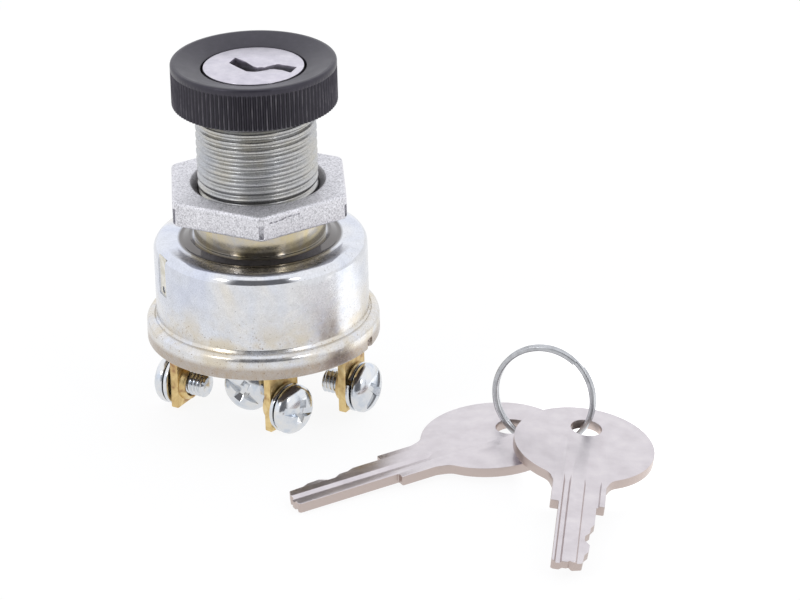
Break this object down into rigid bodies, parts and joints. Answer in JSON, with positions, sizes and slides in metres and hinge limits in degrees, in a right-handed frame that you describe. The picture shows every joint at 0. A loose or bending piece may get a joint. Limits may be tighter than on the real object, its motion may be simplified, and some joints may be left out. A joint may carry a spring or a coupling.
{
  "type": "selector key switch",
  "caption": "Panel key switch with a threaded stem, knurled bezel, hex nut, steel cup and screw terminals, with its keys on a split ring.",
  "frame": {"origin": "centre of the lock's face, on the stem's axis", "axes": "+Z out of the panel along the stem, -Y towards the front, +X to the right"},
  "size_m": [0.0928, 0.0917, 0.0706],
  "materials": {
    "black_plastic": "moulded black plastic, satin, straight knurl on the rim",
    "face_steel": "bright brushed cap",
    "cast_zinc": null,
    "zinc_steel": "bright zinc plate with a faint yellow and blue tint",
    "screw_steel": "bright zinc-plated steel",
    "brass": "plain brass, slightly tarnished",
    "phenolic": "dark phenolic board",
    "nylon": "natural nylon",
    "nickel": "satin nickel plate, warm white",
    "ring_steel": "plated spring wire",
    "spring_steel": "spring steel"
  },
  "bodies": {
    "switch_case": {"lock_housing": "zinc_steel", "steel_cup": "zinc_steel", "base_plate": "phenolic", "detent_ring": "spring_steel", "return_spring": "spring_steel", "terminal_blade_1": "brass", "terminal_rivet_1": "brass", "terminal_blade_2": "brass", "terminal_rivet_2": "brass", "terminal_blade_3": "brass", "terminal_rivet_3": "brass", "terminal_blade_4": "brass", "terminal_rivet_4": "brass"},
    "bezel": {"bezel_nut": "black_plastic"},
    "panel_nut": {"hex_nut": "cast_zinc"},
    "plug": {"lock_plug": "cast_zinc", "plug_cap": "face_steel", "plug_clip": "spring_steel", "rotor": "nylon", "contact_plate": "brass", "wafer_spring_1": "spring_steel", "wafer_spring_2": "spring_steel", "wafer_spring_3": "spring_steel", "wafer_spring_4": "spring_steel", "wafer_spring_5": "spring_steel", "detent_spring_1": "spring_steel", "detent_ball_1": "spring_steel", "contact_spring_1": "spring_steel", "detent_spring_2": "spring_steel", "detent_ball_2": "spring_steel", "contact_spring_2": "spring_steel"},
    "wafer_body_1": {"wafer_1": "brass"},
    "wafer_body_2": {"wafer_2": "brass"},
    "wafer_body_3": {"wafer_3": "brass"},
    "wafer_body_4": {"wafer_4": "brass"},
    "wafer_body_5": {"wafer_5": "brass"},
    "washer_body_1": {"lock_washer_1": "screw_steel"},
    "screw_body_1": {"terminal_screw_1": "screw_steel"},
    "washer_body_2": {"lock_washer_2": "screw_steel"},
    "screw_body_2": {"terminal_screw_2": "screw_steel"},
    "washer_body_3": {"lock_washer_3": "screw_steel"},
    "screw_body_3": {"terminal_screw_3": "screw_steel"},
    "washer_body_4": {"lock_washer_4": "screw_steel"},
    "screw_body_4": {"terminal_screw_4": "screw_steel"},
    "ring_body": {"key_ring": "ring_steel"},
    "key_body_1": {"key_1": "nickel"},
    "key_body_2": {"key_2": "nickel"}
  },
  "joints": [
    {"name": "key_turn", "type": "hinge", "parent": "switch_case", "child": "plug", "pos_m": [0, 0, 0], "axis": [0, 0, 1], "range_deg": [-70, 40]},
    {"name": "bezel_travel", "type": "slide", "parent": "switch_case", "child": "bezel", "axis": [0, 0, 1], "range_m": [0, 0.012]},
    {"name": "nut_travel", "type": "slide", "parent": "switch_case", "child": "panel_nut", "axis": [0, 0, 1], "range_m": [0, 0.015]},
    {"name": "wafer_1_slide", "type": "slide", "parent": "plug", "child": "wafer_body_1", "axis": [0.9026, -0.4305, 0], "range_m": [0, 0.0006]},
    {"name": "wafer_2_slide", "type": "slide", "parent": "plug", "child": "wafer_body_2", "axis": [0.9026, -0.4305, 0], "range_m": [0, 0.0006]},
    {"name": "wafer_3_slide", "type": "slide", "parent": "plug", "child": "wafer_body_3", "axis": [0.9026, -0.4305, 0], "range_m": [0, 0.0006]},
    {"name": "wafer_4_slide", "type": "slide", "parent": "plug", "child": "wafer_body_4", "axis": [0.9026, -0.4305, 0], "range_m": [0, 0.0006]},
    {"name": "wafer_5_slide", "type": "slide", "parent": "plug", "child": "wafer_body_5", "axis": [0.9026, -0.4305, 0], "range_m": [0, 0.0006]},
    {"name": "washer_1_slide", "type": "slide", "parent": "switch_case", "child": "washer_body_1", "axis": [-0.866, 0.5, 0], "range_m": [0, 0.00159]},
    {"name": "screw_1_turn", "type": "hinge", "parent": "washer_body_1", "child": "screw_body_1", "pos_m": [-0.01744, 0.00465, -0.06467], "axis": [-0.866, 0.5, 0], "range_deg": [0, 720]},
    {"name": "washer_2_slide", "type": "slide", "parent": "switch_case", "child": "washer_body_2", "axis": [0.8746, -0.4848, 0], "range_m": [0, 0.00159]},
    {"name": "screw_2_turn", "type": "hinge", "parent": "washer_body_2", "child": "screw_body_2", "pos_m": [0.01808, -0.00123, -0.06467], "axis": [0.8746, -0.4848, 0], "range_deg": [0, 720]},
    {"name": "washer_3_slide", "type": "slide", "parent": "switch_case", "child": "washer_body_3", "axis": [0.7431, -0.6691, 0], "range_m": [0, 0.00159]},
    {"name": "screw_3_turn", "type": "hinge", "parent": "washer_body_3", "child": "screw_body_3", "pos_m": [0.0047, -0.0095, -0.06467], "axis": [0.7431, -0.6691, 0], "range_deg": [0, 720]},
    {"name": "washer_4_slide", "type": "slide", "parent": "switch_case", "child": "washer_body_4", "axis": [-0.454, -0.891, 0], "range_m": [0, 0.000793]},
    {"name": "screw_4_turn", "type": "hinge", "parent": "washer_body_4", "child": "screw_body_4", "pos_m": [-0.00329, 0.00069, -0.06467], "axis": [-0.454, -0.891, 0], "range_deg": [0, 360]},
    {"name": "keys_lift", "type": "slide", "parent": "switch_case", "child": "ring_body", "axis": [0, 0, 1], "range_m": [0, 0.06]},
    {"name": "key_1_swing", "type": "hinge", "parent": "ring_body", "child": "key_body_1", "pos_m": [0.04544, -0.01731, -0.06567], "axis": [-0.0313, -0.0169, 0.9994], "range_deg": [-12, 0]},
    {"name": "key_2_swing", "type": "hinge", "parent": "ring_body", "child": "key_body_2", "pos_m": [0.05902, -0.02249, -0.06374], "axis": [0.1413, -0.0587, 0.9882], "range_deg": [-12, 12]}
  ],
  "couplings": [
    {"joint": "screw_1_turn", "follows": "washer_1_slide", "rad_per_m": 7915.8},
    {"joint": "screw_2_turn", "follows": "washer_2_slide", "rad_per_m": 7915.8},
    {"joint": "screw_3_turn", "follows": "washer_3_slide", "rad_per_m": 7915.8},
    {"joint": "screw_4_turn", "follows": "washer_4_slide", "rad_per_m": 7915.8}
  ]
}
